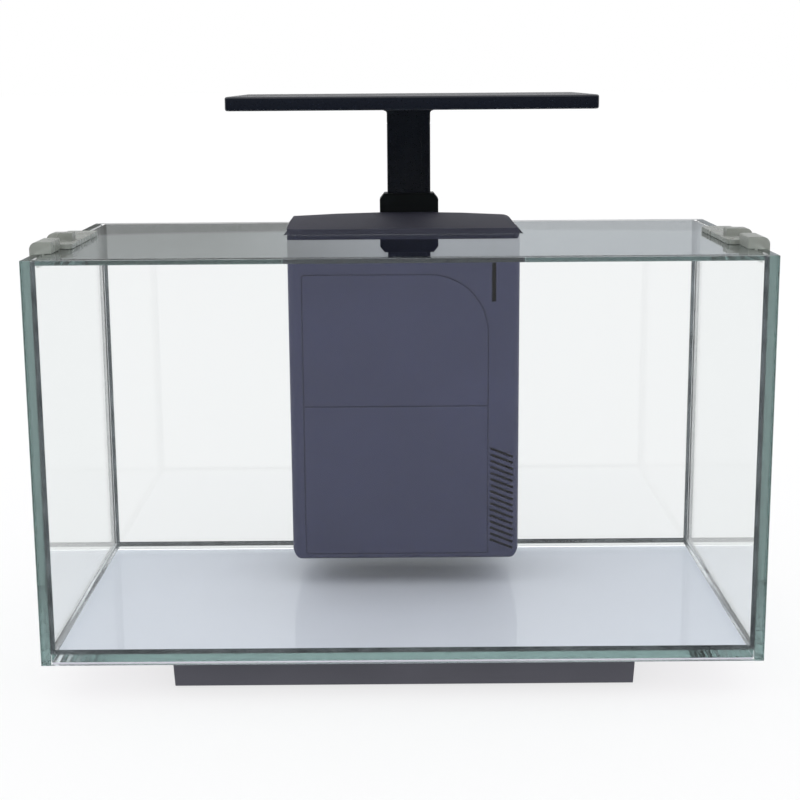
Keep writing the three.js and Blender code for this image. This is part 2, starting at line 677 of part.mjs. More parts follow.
// The hanger hooks over the back pane, is screwed to the filter box and carries the lamp's socket.
function hanger() {
  const x0 = filterLeft + HANGER_INSET;
  const x1 = filterRight - HANGER_INSET;
  const flangeFront = flangeBack - HANGER_WALL;
  const flangeFoot = rim - HANGER_FLANGE;
  const legFront = back + PAD_THICK;
  const hook = outline([
    [hangerFront, rim],
    [flangeFront, rim],
    [flangeFront, flangeFoot],
    [flangeBack, flangeFoot],
    [flangeBack, rim],
    [legFront, rim],
    [legFront, rim - HANGER_DROP],
    [hangerBack, rim - HANGER_DROP],
    [hangerBack, hangerTop - 2],
    [hangerBack - 2, hangerTop],
    [hangerFront, hangerTop],
  ]);
  const glandY = hangerFront + GLAND_RADIUS + 1;
  const hole = rod(GLAND_RADIUS + GAP, 3 * HANGER_PLATE, 20).translate(GLAND_X, glandY, rim - HANGER_PLATE);
  const notch = 2 * GLAND_RADIUS;
  add("hanger", cut(
    prism(hook, "x", x0, x1),
    hole,
    block(GLAND_X - notch, GLAND_X + notch, flangeFront - 1, flangeBack + 1, flangeFoot - 1, rim),
    ...hangerScrews().map(([x, z]) => screwHole(x, z)),
  ), socketPlastic);
  add("hanger_pad", block(x0 + 2, x1 - 2, back, legFront, rim - HANGER_DROP + 2, rim - 2), rubber);
  const collar = GLAND_RADIUS + GLAND_COLLAR;
  add("cable_gland", turned([
    [GLAND_HOLE, 0],
    [GLAND_RADIUS, 0],
    [GLAND_RADIUS, HANGER_PLATE],
    [collar, HANGER_PLATE],
    [collar, HANGER_PLATE + 1.5],
    [GLAND_HOLE, HANGER_PLATE + 1.5],
    [GLAND_HOLE, 0],
  ], 20), rubber, [GLAND_X, glandY, rim]);
  const screw = turned([
    [0, 0],
    [SCREW_HEAD, 0],
    [SCREW_HEAD, SCREW_HEAD_THICK],
    [SCREW_RADIUS, SCREW_HEAD_THICK],
    [SCREW_RADIUS, SCREW_HEAD_THICK + HANGER_WALL + FILTER_WALL],
    [0, SCREW_HEAD_THICK + HANGER_WALL + FILTER_WALL],
  ], 16);
  for (const [x, z] of hangerScrews()) {
    const name = x < FILTER_X ? "hanger_screw_left" : "hanger_screw_right";
    add(name, screw, steel, [x, flangeFront - SCREW_HEAD_THICK, z]).rotation.x = -Math.PI / 2;
  }
  const half = SOCKET_WIDTH / 2;
  const body = outline([
    [-half, 0],
    [half, 0],
    [half, SOCKET_HEIGHT - SOCKET_CHAMFER],
    [half - SOCKET_CHAMFER * 0.8, SOCKET_HEIGHT],
    [-half + SOCKET_CHAMFER * 0.8, SOCKET_HEIGHT],
    [-half, SOCKET_HEIGHT - SOCKET_CHAMFER],
  ]);
  const pocket = prism(stemPlan(STEM_PLAY), "z", SOCKET_FLOOR, SOCKET_HEIGHT + 1, { segments: 4 });
  add("lamp_socket", cut(prism(body, "y", -SOCKET_DEPTH / 2, SOCKET_DEPTH / 2), pocket), socketPlastic,
    [STEM_X, stemY, hangerTop]);
}

function stemPlan(grow) {
  const x = STEM_WIDTH / 2 + grow;
  const y = STEM_DEPTH / 2 + grow;
  const r = STEM_CORNER + grow;
  return roundedRect(-x, x, -y, y, [r, r, r, r]);
}

// The stem plugs into the socket. Its tongue carries the lamp on a pin, behind a thin apron.
function lampStem() {
  const shoulder = hingeZ - EAR_RADIUS - 0.5;
  const head = HINGE_DROP - BRACKET_PLATE - GAP;
  const half = STEM_WIDTH / 2;
  const skinFront = -STEM_DEPTH / 2;
  const skinBack = skinFront + APRON;
  const apronTop = hingeZ + head;
  const tongue = new THREE.Shape();
  tongue.moveTo(-head, shoulder - 1);
  tongue.lineTo(head, shoulder - 1);
  tongue.lineTo(head, hingeZ);
  tongue.absarc(0, hingeZ, head, 0, Math.PI);
  const pinHole = new THREE.CylinderGeometry(PIN_RADIUS + PIN_PLAY, PIN_RADIUS + PIN_PLAY, 60, 24)
    .rotateZ(Math.PI / 2)
    .translate(0, 0, hingeZ);
  const lines = [-1, 1].map((side) => block(
    side * STEM_LINE_X - STEM_LINE / 2, side * STEM_LINE_X + STEM_LINE / 2,
    -STEM_DEPTH, STEM_LINE - STEM_DEPTH / 2,
    stemFoot + SOCKET_HEIGHT, shoulder - 4,
  ));
  const duct = block(
    -STEM_BORE_WIDTH / 2, STEM_BORE_WIDTH / 2,
    -STEM_BORE_DEPTH / 2, STEM_BORE_DEPTH / 2,
    stemFoot - 1, shoulder - 6,
  );
  const skin = common(
    prism(stemPlan(0), "z", shoulder - 1, apronTop, { segments: 4 }),
    block(-half, half, skinFront, skinBack, shoulder - 1, apronTop),
  );
  const lip = apronTop - APRON;
  const flare = new THREE.Shape();
  flare.moveTo(-half - APRON_FLARE, apronTop);
  flare.lineTo(-half - APRON_FLARE, lip);
  flare.quadraticCurveTo(-half, lip, -half, lip - APRON_FLARE);
  flare.lineTo(half, lip - APRON_FLARE);
  flare.quadraticCurveTo(half, lip, half + APRON_FLARE, lip);
  flare.lineTo(half + APRON_FLARE, apronTop);
  const stem = join(
    prism(stemPlan(0), "z", stemFoot, shoulder, { segments: 4 }),
    prism(tongue, "x", -tongueWidth / 2, tongueWidth / 2, { segments: 8 }),
    skin,
    prism(flare, "y", skinFront, skinBack),
  );
  add("lamp_stem", cut(stem, pinHole, duct, ...lines), lampPlastic, [STEM_X, stemY, 0]);
  const pin = new THREE.CylinderGeometry(PIN_RADIUS, PIN_RADIUS, STEM_WIDTH - 1, 24).rotateZ(Math.PI / 2);
  add("hinge_pin", pin, steel, [STEM_X, stemY, hingeZ]);

  const washer = tube(PIN_RADIUS + PIN_PLAY, WASHER_RADIUS, WASHER).rotateY(Math.PI / 2);
  const step = tongueWidth / 2 + WASHER_PLAY;
  add("hinge_washer_left", washer, steel, [STEM_X - step - WASHER, stemY, hingeZ]);
  add("hinge_washer_right", washer, steel, [STEM_X + step, stemY, hingeZ]);

  const ear = new THREE.Shape();
  ear.moveTo(EAR_RADIUS, lampBottom - BRACKET_PLATE / 2);
  ear.lineTo(-EAR_RADIUS, lampBottom - BRACKET_PLATE / 2);
  ear.lineTo(-EAR_RADIUS, hingeZ);
  ear.absarc(0, hingeZ, EAR_RADIUS, Math.PI, 2 * Math.PI);
  const plate = block(
    -BRACKET_WIDTH / 2, BRACKET_WIDTH / 2,
    -BRACKET_DEPTH / 2, BRACKET_DEPTH / 2,
    lampBottom - BRACKET_PLATE, lampBottom,
  );
  add("lamp_bracket", cut(join(
    plate,
    prism(ear, "x", half - EAR_WIDTH, half, { segments: 8 }),
    prism(ear, "x", -half, EAR_WIDTH - half, { segments: 8 }),
  ), pinHole), lampPlastic, [STEM_X, stemY, 0]);
}

// The lamp is a thin slab with a lit window underneath: board above, diffuser flush below.
function lamp() {
  const y1 = stemY + LAMP_OVERHANG;
  const y0 = y1 - LAMP_DEPTH;
  const x0 = LAMP_X - LAMP_WIDTH / 2;
  const x1 = LAMP_X + LAMP_WIDTH / 2;
  const c = LAMP_CORNER;
  const slab = prism(
    roundedRect(x0, x1, y0, y1, [c, c, c, c]), "z", lampBottom, lampBottom + LAMP_THICK,
    { bevel: LAMP_EDGE, rounds: 3 },
  );
  const windowBack = stemY - BRACKET_DEPTH / 2 - LAMP_SILL + DIFFUSER_MARGIN;
  const window = (margin, z0, z1) => block(
    x0 + margin, x1 - margin,
    y0 + margin, windowBack - margin,
    z0, z1,
  );
  const ceiling = lampBottom + LAMP_THICK - LAMP_TOP_WALL;
  const lensTop = lampBottom + DIFFUSER_THICK;
  add("lamp_housing", cut(
    slab,
    window(DIFFUSER_MARGIN - GAP, lampBottom - 1, lensTop),
    window(BOARD_MARGIN - GAP, lampBottom, ceiling),
  ), lampPlastic);
  add("lamp_diffuser", window(DIFFUSER_MARGIN, lampBottom, lensTop), diffuserPlastic);
  add("led_board", window(BOARD_MARGIN, ceiling - BOARD_THICK, ceiling), boardLacquer);
}

function nozzleHole() {
  const radius = nozzleRadius() + GAP;
  return new THREE.CylinderGeometry(radius, radius, 30, 24)
    .rotateZ(Math.PI / 2)
    .translate(filterLeft, pumpPlace().spoutY, rim - NOZZLE_DROP);
}

function nozzleRadius() {
  return SPOUT_RADIUS + GAP + PIPE_WALL + GAP + PIPE_WALL;
}

// Partitions split the filter box into a pump chamber, a media chamber and an intake chamber.
function chambers() {
  const wallIn = FILTER_WALL + PARTITION_PLAY;
  const y0 = filterFront + wallIn;
  const y1 = filterBack - wallIn;
  const top = rim - PARTITION_DROP;
  const intakeX = filterRight - FILTER_WALL - INTAKE_WIDTH;
  const pumpX = filterLeft + FILTER_WALL + PUMP_WIDTH;
  add("intake_partition", block(intakeX - PARTITION, intakeX, y0, y1, filterFloor, top), innerPlastic);
  add("pump_partition", cut(
    block(pumpX, pumpX + PARTITION, y0, y1, filterFloor, top),
    block(pumpX - 1, pumpX + PARTITION + 1, y0 + 10, y1 - 10, filterFloor - 1, filterFloor + UNDERFLOW),
  ), innerPlastic);

  const x0 = pumpX + PARTITION + BASKET_PLAY;
  const x1 = intakeX - PARTITION - BASKET_PLAY;
  const by0 = y0 + BASKET_PLAY;
  const by1 = y1 - BASKET_PLAY;
  const w = BASKET_WALL;
  const slotPitch = (x1 - x0 - 2 * w) / BASKET_SLOTS;
  const slots = Array.from({ length: BASKET_SLOTS }, (_, i) => {
    const x = x0 + w + (i + 0.5) * slotPitch;
    const half = slotPitch / 4;
    return block(
      x - half, x + half,
      by0 + BASKET_SILL, by1 - BASKET_SILL,
      filterFloor - 1, filterFloor + w + 1,
    );
  });
  add("media_basket", cut(
    block(x0, x1, by0, by1, filterFloor, filterFloor + BASKET_HEIGHT),
    block(x0 + w, x1 - w, by0 + w, by1 - w, filterFloor + w, filterFloor + BASKET_HEIGHT + 1),
    ...slots,
  ), innerPlastic);
  const m = w + MEDIA_PLAY;
  let z = filterFloor + w;
  const layers = [
    ["bio_media", MEDIA_HEIGHT, ceramic],
    ["filter_sponge", SPONGE_HEIGHT, sponge],
    ["filter_floss", FLOSS_HEIGHT, floss],
  ];
  for (const [name, height, material] of layers) {
    add(name, block(x0 + m, x1 - m, by0 + m, by1 - m, z, z + height), material);
    z += height;
  }
}

function pumpPlace() {
  const x = filterLeft + FILTER_WALL + PUMP_WIDTH / 2;
  const y1 = filterBack - FILTER_WALL - PUMP_FROM_BACK;
  const y0 = y1 - PUMP_LENGTH;
  const z0 = filterFloor + SUCTION_HEIGHT;
  return { x, y0, y1, z0, axisZ: z0 + PUMP_BODY / 2, spoutY: y0 + SPOUT_FROM_FRONT };
}

function alongY(geometry, x, y, z) {
  return geometry.rotateX(-Math.PI / 2).translate(x, y, z);
}

// The pump stands on suction feet. Its impeller runs on a fixed ceramic shaft between body and cover.
function pump() {
  const { x, y0, y1, z0, axisZ, spoutY } = pumpPlace();
  const half = PUMP_BODY / 2;
  const top = z0 + PUMP_BODY;
  const vaneRoom = VANE_LENGTH + 2 * RUN_PLAY;
  const rotorEnd = y0 + vaneRoom + ROTOR_LENGTH;
  const casing = roundedRect(x - half, x + half, z0, top, [4, 4, 4, 4]);
  const spout = rod(SPOUT_RADIUS, SPOUT_HEIGHT + 2, 20).translate(x, spoutY, top - 2);
  const bore = rod(SPOUT_BORE, PUMP_BODY, 20).translate(x, spoutY, axisZ);
  const seat = SHAFT_RADIUS + SHAFT_PLAY;
  add("pump_body", cut(
    join(prism(casing, "y", y0, y1, { segments: 3 }), spout),
    alongY(rod(CHAMBER_RADIUS, vaneRoom + 1, 32), x, y0 - 1, axisZ),
    alongY(rod(ROTOR_RADIUS + RUN_PLAY, vaneRoom + ROTOR_LENGTH + RUN_PLAY), x, y0, axisZ),
    alongY(rod(seat, PUMP_LENGTH - 3), x, y0, axisZ),
    bore,
  ), innerPlastic);

  const slots = [-1.5, -0.5, 0.5, 1.5].map((row) => {
    const z = axisZ + row * 6;
    return block(x - 10, x + 10, y0 - PUMP_COVER - 1, y0 - PUMP_COVER + 3, z - 1.5, z + 1.5);
  });
  const coverSeat = alongY(rod(seat, 4), x, y0 - 3, axisZ);
  add("pump_cover", cut(
    join(
      cut(
        prism(casing, "y", y0 - PUMP_COVER, y0, { segments: 3 }),
        block(x - half + 3, x + half - 3, y0 - PUMP_COVER + 2, y0 + 1, z0 + 3, top - 3),
      ),
      block(x - half + 2, x + half - 2, y0 - 3.5, y0 - GAP, axisZ - 3, axisZ + 3),
    ),
    coverSeat,
    ...slots,
  ), innerPlastic);

  const vane = block(0, VANE_RADIUS, -0.7, 0.7, 0, VANE_LENGTH);
  const vanes = Array.from({ length: VANE_COUNT }, (_, i) =>
    vane.clone().rotateZ(i * 2 * Math.PI / VANE_COUNT));
  const impeller = cut(
    join(rod(ROTOR_RADIUS, VANE_LENGTH + ROTOR_LENGTH - RUN_PLAY), ...vanes),
    rod(SHAFT_RADIUS + SHAFT_PLAY, 60).translate(0, 0, -5),
  );
  const turnedUp = add("impeller", impeller, ferrite, [x, y0 + RUN_PLAY, axisZ]);
  turnedUp.rotation.x = -Math.PI / 2;
  const shaftLength = rotorEnd + RUN_PLAY - y0 + 3;
  add("impeller_shaft", rod(SHAFT_RADIUS, shaftLength), ceramic, [x, y0 - 2.5, axisZ])
    .rotation.x = -Math.PI / 2;

  const cup = turned([
    [0, 1],
    [SUCTION_RADIUS - 1, 0],
    [SUCTION_RADIUS, 0],
    [SUCTION_RADIUS * 0.6, SUCTION_HEIGHT - 1.5],
    [SUCTION_RADIUS * 0.6, SUCTION_HEIGHT],
    [0, SUCTION_HEIGHT],
  ], 16);
  for (const [side, sx] of [["left", -1], ["right", 1]]) {
    for (const [end, y] of [["front", y0 + SUCTION_INSET], ["back", y1 - SUCTION_INSET]]) {
      add(`suction_foot_${end}_${side}`, cup, rubber, [x + sx * (half - SUCTION_INSET), y, filterFloor]);
    }
  }

  const nozzleZ = rim - NOZZLE_DROP;
  const bend = nozzleRadius() + NOZZLE_BEND;
  const pipeIn = SPOUT_RADIUS + GAP;
  const pipeOut = pipeIn + PIPE_WALL;
  const pipeFoot = top + 1;
  const pipeTop = nozzleZ - bend;
  add("outlet_pipe", tube(pipeIn, pipeOut, pipeTop - pipeFoot, 20), innerPlastic, [x, spoutY, pipeFoot]);
  const path = new THREE.CurvePath();
  const corner = new THREE.Vector3(x, spoutY, nozzleZ);
  const foot = new THREE.Vector3(x, spoutY, pipeTop - NOZZLE_SLEEVE);
  const rise = new THREE.Vector3(x, spoutY, pipeTop);
  const run = new THREE.Vector3(x - bend, spoutY, nozzleZ);
  const mouth = new THREE.Vector3(filterLeft, spoutY, nozzleZ);
  path.add(new THREE.LineCurve3(foot, rise));
  path.add(new THREE.QuadraticBezierCurve3(rise, corner, run));
  path.add(new THREE.LineCurve3(run, mouth));
  const ring = (r) => {
    const shape = new THREE.Shape();
    shape.absarc(0, 0, r, 0, 2 * Math.PI);
    return new THREE.ExtrudeGeometry(shape, { extrudePath: path, steps: 16, curveSegments: 10 });
  };
  add("return_nozzle", cut(ring(nozzleRadius()), ring(nozzleRadius() - PIPE_WALL)), innerPlastic);
}

tankGlass();
tankSeals();
plinth();
lid();
lidClip("clip_left", -1);
lidClip("clip_right", 1);
filterBox();
filterCap();
hanger();
chambers();
pump();
lampStem();
lamp();

export default root;
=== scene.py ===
"""The finished look of a small glass aquarium on a plinth, with its inside filter, glass lid and lamp."""

import math
import random

import bmesh
import bpy
from mathutils import Euler, Matrix, Vector, noise


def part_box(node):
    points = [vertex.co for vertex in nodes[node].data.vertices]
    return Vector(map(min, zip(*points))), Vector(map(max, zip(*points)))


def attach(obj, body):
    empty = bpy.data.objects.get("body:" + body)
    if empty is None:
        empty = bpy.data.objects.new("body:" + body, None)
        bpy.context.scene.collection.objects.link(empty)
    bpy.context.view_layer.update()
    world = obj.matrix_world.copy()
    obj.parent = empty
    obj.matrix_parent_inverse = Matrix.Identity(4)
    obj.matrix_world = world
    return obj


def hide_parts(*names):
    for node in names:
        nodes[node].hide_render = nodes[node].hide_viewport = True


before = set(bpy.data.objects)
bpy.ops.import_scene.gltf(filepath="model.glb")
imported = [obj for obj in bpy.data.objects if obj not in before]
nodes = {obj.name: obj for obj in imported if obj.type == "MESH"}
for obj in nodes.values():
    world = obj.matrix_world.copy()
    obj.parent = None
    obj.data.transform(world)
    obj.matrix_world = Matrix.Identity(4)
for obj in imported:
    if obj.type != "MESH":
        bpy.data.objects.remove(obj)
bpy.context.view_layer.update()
scene = bpy.context.scene
MM = 0.001

# ---------------------------------------------------------------- camera
# A level product view from a little above the rim, square to the front pane.
CAMERA_PLACE = Vector((-0.0005, -1.1789, 0.4259))
CAMERA_PITCH = math.radians(11.51)
CAMERA_ROLL = math.radians(-0.42)
CAMERA_LENS = 71.5

camera_data = bpy.data.cameras.new("camera")
camera_data.lens = CAMERA_LENS
camera_data.sensor_width = 36.0
camera = bpy.data.objects.new("camera", camera_data)
look = Matrix.Rotation(math.pi / 2 - CAMERA_PITCH, 4, "X") @ Matrix.Rotation(CAMERA_ROLL, 4, "Z")
camera.matrix_world = Matrix.Translation(CAMERA_PLACE) @ look
scene.collection.objects.link(camera)
scene.camera = camera

# ---------------------------------------------------------------- studio
# A wide white sweep that glows a little, so shadows stay faint, under soft overhead light.
# The sky low at the back is painted in grey bands, darker to the left, for the lid to mirror.
FLOOR_HALF = 40.0
FLOOR_GLOW = 0.72
FLOOR_PAINT = 0.20
OVERHEAD = 1.55
WALL_LEFT = (0.295, 0.31, 0.305)
WALL_RIGHT = (0.52, 0.55, 0.58)
FOOT_LEFT = (0.155, 0.155, 0.15)
FOOT_RIGHT = (0.44, 0.46, 0.48)
DARK_BAND = 0.05
FRONT_GREY = 0.05
FRONT_HIGH = 0.55


def shader_tree(material):
    """Empties a material's node tree and returns it with its output."""
    material.use_nodes = True
    tree = material.node_tree
    tree.nodes.clear()
    return tree, tree.nodes.new("ShaderNodeOutputMaterial")


def node(tree, kind, **settings):
    """A new node with its settings or, where a name is a socket, that socket's value."""
    made = tree.nodes.new("ShaderNode" + kind)
    for name, value in settings.items():
        if hasattr(made, name):
            setattr(made, name, value)
        else:
            made.inputs[name.replace("_", " ")].default_value = value
    return made


def smooth_step(tree, source, low, high):
    """0 below low, 1 above high, and a soft ramp between."""
    ramp = node(tree, "MapRange", interpolation_type="SMOOTHSTEP")
    ramp.inputs["From Min"].default_value = low
    ramp.inputs["From Max"].default_value = high
    tree.links.new(source, ramp.inputs["Value"])
    return ramp.outputs["Result"]


def blend_colour(tree, factor, under, over):
    """One colour over another by a factor. Either may be a socket."""
    mix = node(tree, "Mix", data_type="RGBA")
    tree.links.new(factor, mix.inputs["Factor"])
    for socket, colour in ((mix.inputs[6], under), (mix.inputs[7], over)):
        if isinstance(colour, bpy.types.NodeSocket):
            tree.links.new(colour, socket)
        else:
            socket.default_value = (*colour, 1.0)
    return mix.outputs[2]


world = bpy.data.worlds.new("studio")
world.use_nodes = True
sky = world.node_tree
sky.nodes.clear()
direction = node(sky, "TexCoord")
parts = node(sky, "SeparateXYZ")
sky.links.new(direction.outputs["Generated"], parts.inputs["Vector"])
height = parts.outputs["Z"]
depth = parts.outputs["Y"]
across = parts.outputs["X"]
behind = smooth_step(sky, depth, 0.35, 0.75)
front_glow = smooth_step(sky, height, 0.0, 0.4)
low_front = blend_colour(sky, front_glow, (FRONT_GREY,) * 3, (FRONT_HIGH,) * 3)
leftward = smooth_step(sky, across, -0.13, 0.04)
wall_foot = blend_colour(sky, smooth_step(sky, across, -0.06, 0.06), FOOT_LEFT, FOOT_RIGHT)
wall = blend_colour(sky, leftward, WALL_LEFT, WALL_RIGHT)
wall = blend_colour(sky, smooth_step(sky, height, 0.0930, 0.0955), wall_foot, wall)
wall = blend_colour(sky, smooth_step(sky, height, 0.118, 0.135), wall, (DARK_BAND,) * 3)
sweep = blend_colour(sky, smooth_step(sky, height, 0.061, 0.078), (1.0, 1.0, 1.0), wall)
low_sky = blend_colour(sky, behind, low_front, sweep)
high = smooth_step(sky, height, 0.25, 0.36)
whole_sky = blend_colour(sky, high, low_sky, (OVERHEAD, OVERHEAD, OVERHEAD * 1.02))
backdrop = node(sky, "Background")
sky.links.new(whole_sky, backdrop.inputs["Color"])
sky_output = node(sky, "OutputWorld")
sky.links.new(backdrop.outputs[0], sky_output.inputs["Surface"])
scene.world = world

floor_mesh = bmesh.new()
bmesh.ops.create_grid(floor_mesh, x_segments=2, y_segments=2, size=FLOOR_HALF)
floor_data = bpy.data.meshes.new("studio_floor")
floor_mesh.to_mesh(floor_data)
floor_mesh.free()
floor = bpy.data.objects.new("studio_floor", floor_data)
floor_paint = bpy.data.materials.new("floor_paint")
tree, output = shader_tree(floor_paint)
paint = node(tree, "BsdfDiffuse", Color=(FLOOR_PAINT, FLOOR_PAINT, FLOOR_PAINT, 1.0))
glow = node(tree, "Emission", Color=(1.0, 1.0, 1.0, 1.0), Strength=FLOOR_GLOW)
painted = node(tree, "AddShader")
tree.links.new(paint.outputs[0], painted.inputs[0])
tree.links.new(glow.outputs[0], painted.inputs[1])
tree.links.new(painted.outputs[0], output.inputs["Surface"])
floor_data.materials.append(floor_paint)
floor.visible_glossy = False
scene.collection.objects.link(floor)

scene.view_settings.view_transform = "Standard"
scene.cycles.max_bounces = 24
scene.cycles.transmission_bounces = 24
scene.cycles.glossy_bounces = 24
scene.cycles.transparent_max_bounces = 24
scene.cycles.use_denoising = True
scene.cycles.caustics_reflective = False
scene.cycles.caustics_refractive = False

# ---------------------------------------------------------------- plinth
# A low tray moulded in dark grey plastic with a fine spark texture, closed below by a plate.
# The tank stands on it on a foam mat, and it stands on four rubber feet.


def dress(name, material, edge, rounds=2):
    """Gives a CAD node its material and eased edges: joined corners, whole faces, then a small round."""
    piece = nodes[name]
    piece.data.materials.clear()
    piece.data.materials.append(material)
    piece.data.polygons.foreach_set("use_smooth", [True] * len(piece.data.polygons))
    weld = piece.modifiers.new("joined_corners", "WELD")
    weld.merge_threshold = 0.002 * MM
    whole = piece.modifiers.new("whole_faces", "DECIMATE")
    whole.decimate_type = "DISSOLVE"
    whole.angle_limit = math.radians(0.8)
    if edge:
        ease = piece.modifiers.new("eased_edges", "BEVEL")
        ease.width = edge
        ease.segments = rounds
        ease.limit_method = "ANGLE"
        ease.angle_limit = math.radians(32)
        ease.miter_outer = "MITER_ARC"
    flat = piece.modifiers.new("flat_faces", "WEIGHTED_NORMAL")
    flat.keep_sharp = True
    return piece


def moulded(name, colour, roughness, grain=0.9 * MM, depth=0.02 * MM, wander=0.06, shine=0.5):
    """Moulded plastic with a fine texture, faint flow marks and slightly uneven gloss."""
    plastic = bpy.data.materials.new(name)
    tree, output = shader_tree(plastic)
    body = node(tree, "BsdfPrincipled", IOR=1.48)
    body.inputs["Specular IOR Level"].default_value = shine
    place = node(tree, "TexCoord").outputs["Object"]
    clouds = node(tree, "TexNoise", Scale=14.0, Detail=3.0)
    grit = node(tree, "TexNoise", Scale=1.0 / grain, Detail=2.0)
    for pattern in (clouds, grit):
        tree.links.new(place, pattern.inputs["Vector"])
    darker = tuple(c * (1 - wander) for c in colour)
    lighter = tuple(min(1.0, c * (1 + wander)) for c in colour)
    shade = blend_colour(tree, smooth_step(tree, clouds.outputs["Fac"], 0.3, 0.7), darker, lighter)
    tree.links.new(shade, body.inputs["Base Color"])
    gloss = node(tree, "MapRange")
    gloss.inputs["From Min"].default_value = 0.25
    gloss.inputs["From Max"].default_value = 0.75
    gloss.inputs["To Min"].default_value = roughness - 0.05
    gloss.inputs["To Max"].default_value = roughness + 0.05
    tree.links.new(grit.outputs["Fac"], gloss.inputs["Value"])
    tree.links.new(gloss.outputs["Result"], body.inputs["Roughness"])
    bump = node(tree, "Bump", Strength=0.5, Distance=depth)
    tree.links.new(grit.outputs["Fac"], bump.inputs["Height"])
    tree.links.new(bump.outputs["Normal"], body.inputs["Normal"])
    tree.links.new(body.outputs[0], output.inputs["Surface"])
    return plastic


plinth_plastic = moulded("plinth_plastic", (0.095, 0.096, 0.116), 0.55)
for name in ("plinth_shell", "plinth_floor_plate"):
    dress(name, plinth_plastic, 0.6 * MM)


def pitted(name, colour, pore, depth, roughness=0.85):
    """A matt material, such as rubber, foam or ceramic, pitted with pores of one size."""
    rubber = bpy.data.materials.new(name)
    tree, output = shader_tree(rubber)
    body = node(tree, "BsdfPrincipled", IOR=1.45, Roughness=roughness)
    pores = node(tree, "TexVoronoi", Scale=1.0 / pore)
    dust = node(tree, "TexNoise", Scale=60.0, Detail=4.0)
    place = node(tree, "TexCoord").outputs["Object"]
    tree.links.new(place, pores.inputs["Vector"])
    tree.links.new(place, dust.inputs["Vector"])
    dusty = tuple(min(1.0, c * 1.5 + 0.004) for c in colour)
    shade = blend_colour(tree, smooth_step(tree, dust.outputs["Fac"], 0.45, 0.75), colour, dusty)
    tree.links.new(shade, body.inputs["Base Color"])
    bump = node(tree, "Bump", Strength=0.7, Distance=depth)
    tree.links.new(pores.outputs["Distance"], bump.inputs["Height"])
    tree.links.new(bump.outputs["Normal"], body.inputs["Normal"])
    tree.links.new(body.outputs[0], output.inputs["Surface"])
    return rubber


mat_foam = pitted("mat_foam", (0.022, 0.022, 0.025), 0.8 * MM, 0.12 * MM, 0.95)
black_rubber = pitted("black_rubber", (0.012, 0.012, 0.013), 0.35 * MM, 0.02 * MM, 0.7)
dress("cushion_mat", mat_foam, 0.4 * MM)
for end in ("front", "back"):
    for side in ("left", "right"):
        dress(f"foot_{end}_{side}", black_rubber, 0.2 * MM)


def new_piece(name, mesh, material, body):
    """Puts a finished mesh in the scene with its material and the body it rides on."""
    bmesh.ops.recalc_face_normals(mesh, faces=mesh.faces)
    data = bpy.data.meshes.new(name)
    mesh.to_mesh(data)
    mesh.free()
    data.materials.append(material)
    piece = bpy.data.objects.new(name, data)
    scene.collection.objects.link(piece)
    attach(piece, body)
    return piece

# ---------------------------------------------------------------- panes and lid
# Five panes of 6 mm float glass and a 4 mm lid, ground and polished along their edges, each with
# a small flat arris. Seen through its length the glass is green. The panes are glued edge to face.
PANES = ("front_glass", "back_glass", "left_glass", "right_glass")
ARRIS = 0.35 * MM
GLASS_IOR = 1.46
GREEN = (0.16, 0.35, 0.33)
GREEN_DENSITY = 8.0


def lit_through(tree, output, body, tint):
    """Lets light pass a clear piece straight on its way to what is behind, tinted a little."""
    open_way = node(tree, "BsdfTransparent", Color=(*tint, 1.0))
    path = node(tree, "LightPath")
    shader = body.outputs[0]
    for kind in ("Is Shadow Ray", "Is Diffuse Ray"):
        choice = node(tree, "MixShader")
        tree.links.new(path.outputs[kind], choice.inputs[0])
        tree.links.new(shader, choice.inputs[1])
        tree.links.new(open_way.outputs[0], choice.inputs[2])
        shader = choice.outputs[0]
    tree.links.new(shader, output.inputs["Surface"])


def clear_glass(name, tint, density, ior):
    """Smooth glass that lets lamps through and turns green with depth."""
    glass = bpy.data.materials.new(name)
    tree, output = shader_tree(glass)
    body = node(tree, "BsdfPrincipled", Roughness=0.0, IOR=ior)
    body.inputs["Base Color"].default_value = (1.0, 1.0, 1.0, 1.0)
    body.inputs["Transmission Weight"].default_value = 1.0
    lit_through(tree, output, body, (0.96, 0.98, 0.975))
    depth_tint = node(tree, "VolumeAbsorption", Color=(*tint, 1.0), Density=density)
    tree.links.new(depth_tint.outputs[0], output.inputs["Volume"])
    return glass


float_glass = clear_glass("float_glass", GREEN, GREEN_DENSITY, GLASS_IOR)
for pane_name in PANES:
    dress(pane_name, float_glass, ARRIS)

# The floor pane is given far less refraction than real glass has, so that it hardly mirrors the
# filter box over it.
DULLED_IOR = 1.07
floor_glass = clear_glass("floor_glass", GREEN, GREEN_DENSITY, DULLED_IOR)
dress("bottom_glass", floor_glass, ARRIS)

# The lid is the same glass, but its colour is darkened on purpose where it is looked at along its face:
# painted shade that deepens the grey it mirrors there.
lid_glass = clear_glass("lid_glass", GREEN, GREEN_DENSITY, GLASS_IOR)
tree = lid_glass.node_tree
facing = node(tree, "LayerWeight", Blend=0.5)
lid_painted_slant_shade = blend_colour(
    tree, smooth_step(tree, facing.outputs["Facing"], 0.55, 0.88), (0.95, 0.97, 0.97), (0.30, 0.32, 0.33),
)
tree.links.new(lid_painted_slant_shade, tree.nodes["Principled BSDF"].inputs["Base Color"])
dress("lid_glass", lid_glass, ARRIS)

# ---------------------------------------------------------------- silicone beads and floor film
# Clear silicone is run up the four inner corners and round the floor, and wiped hollow by finger.
# The film under the floor pane hides the plinth. It is mixed a little lilac against the green glass.
SILICONE_IOR = 1.41


